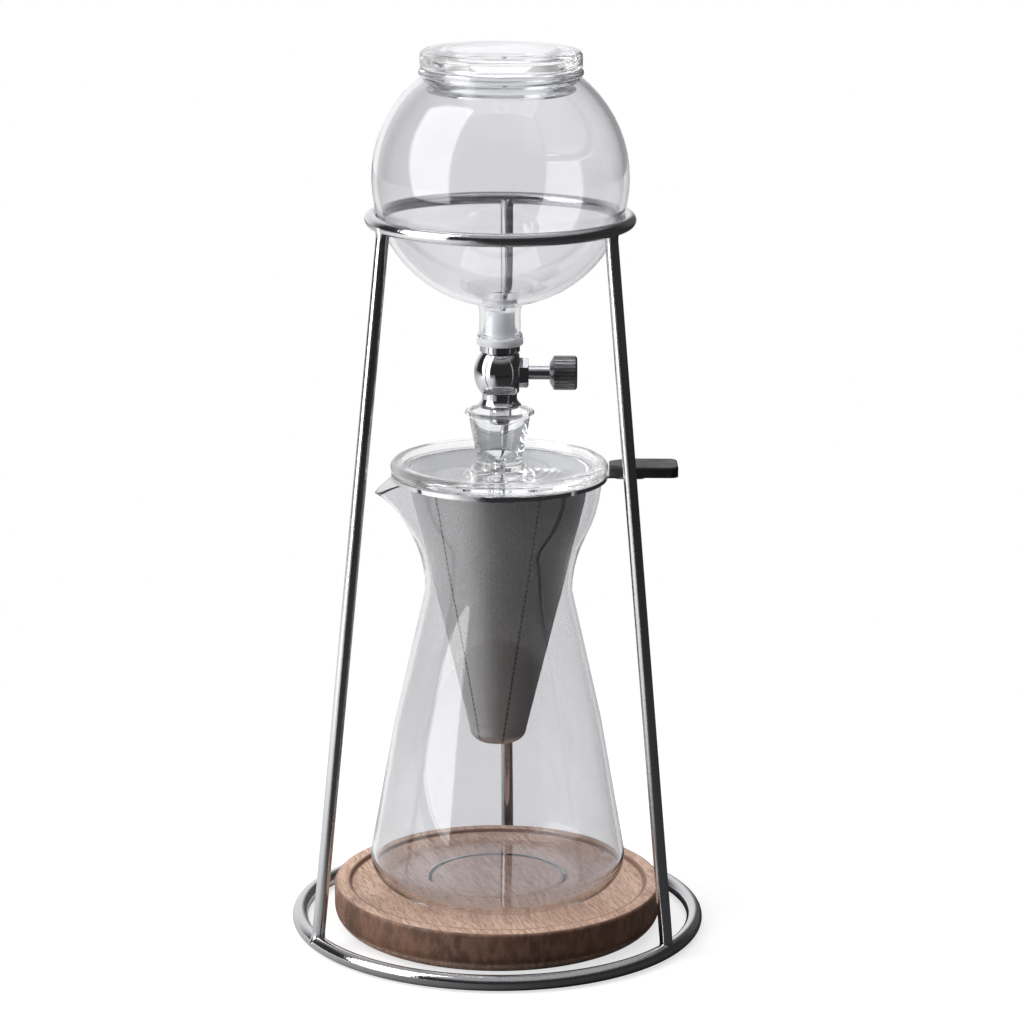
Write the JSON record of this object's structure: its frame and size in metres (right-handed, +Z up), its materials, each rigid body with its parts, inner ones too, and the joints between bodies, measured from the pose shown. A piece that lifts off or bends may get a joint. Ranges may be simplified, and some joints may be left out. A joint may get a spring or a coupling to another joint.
{
  "type": "cold drip coffee tower",
  "caption": "Glass water globe with a needle drip valve on a steel rod stand, over a glass drip lid, a steel cone filter and an hourglass carafe on a wooden coaster.",
  "frame": {"origin": "on the table under the middle of the tower, at the centre of the base hoop", "axes": "+Z up, +X along the valve's knob and the filter's handle, -X along the carafe's spout, -Y to the front"},
  "size_m": [0.16, 0.16, 0.3421],
  "materials": {
    "polished_steel": "polished",
    "etched_steel": "etched screen",
    "fine_mesh": "fine mesh",
    "wood": "oiled",
    "clear_glass": "clear",
    "silicone": "translucent",
    "chrome_plate": "polished",
    "dark_metal": "anodised",
    "black_plastic": "matte",
    "white_seat": "smooth",
    "black_rubber": "matte",
    "screw_steel": "plain"
  },
  "bodies": {
    "stand": {"base_ring": "polished_steel", "leg_front_left": "polished_steel", "leg_front_right": "polished_steel", "leg_back": "polished_steel", "top_ring": "polished_steel", "coaster": "wood"},
    "tank": {"tank_globe": "clear_glass", "outlet_bung": "silicone", "inlet_tail": "chrome_plate", "valve_body": "chrome_plate", "valve_seat": "white_seat", "gland_nut": "chrome_plate", "drip_tip": "chrome_plate"},
    "spindle_seal": {"spindle_seal": "black_rubber"},
    "knob": {"valve_spindle": "chrome_plate", "valve_knob": "dark_metal", "knob_screw": "screw_steel"},
    "tank_lid": {"tank_lid": "clear_glass", "lid_seal": "silicone"},
    "carafe": {"carafe": "clear_glass"},
    "filter": {"filter_screen": "etched_steel", "filter_mesh": "fine_mesh", "filter_cap": "etched_steel", "filter_rim": "polished_steel", "filter_handle": "black_plastic", "handle_screws": "screw_steel"},
    "drip_lid": {"drip_lid": "clear_glass"}
  },
  "joints": [
    {"name": "tank_lift", "type": "slide", "parent": "stand", "child": "tank", "axis": [0, 0, 1], "range_m": [0, 0.4]},
    {"name": "tank_lid_lift", "type": "slide", "parent": "tank", "child": "tank_lid", "axis": [0, 0, 1], "range_m": [0, 0.06]},
    {"name": "spindle_slide", "type": "slide", "parent": "tank", "child": "spindle_seal", "axis": [1, 0, 0], "range_m": [0, 0.002]},
    {"name": "knob_turn", "type": "hinge", "parent": "spindle_seal", "child": "knob", "pos_m": [0, 0, 0.2184], "axis": [1, 0, 0], "range_deg": [0, 900]},
    {"name": "carafe_slide", "type": "slide", "parent": "stand", "child": "carafe", "axis": [0.8847, 0.4508, 0.1191], "range_m": [0, 0.2]},
    {"name": "filter_lift", "type": "slide", "parent": "carafe", "child": "filter", "axis": [0, 0, 1], "range_m": [0, 0.11]},
    {"name": "drip_lid_lift", "type": "slide", "parent": "filter", "child": "drip_lid", "axis": [0, 0, 1], "range_m": [0, 0.035]}
  ],
  "couplings": [
    {"joint": "carafe_slide", "follows": "tank_lift", "ratio": 0.5},
    {"joint": "filter_lift", "follows": "tank_lift", "ratio": 0.275},
    {"joint": "drip_lid_lift", "follows": "tank_lift", "ratio": 0.0875},
    {"joint": "spindle_slide", "follows": "knob_turn", "m_per_rad": 0.00012732}
  ]
}
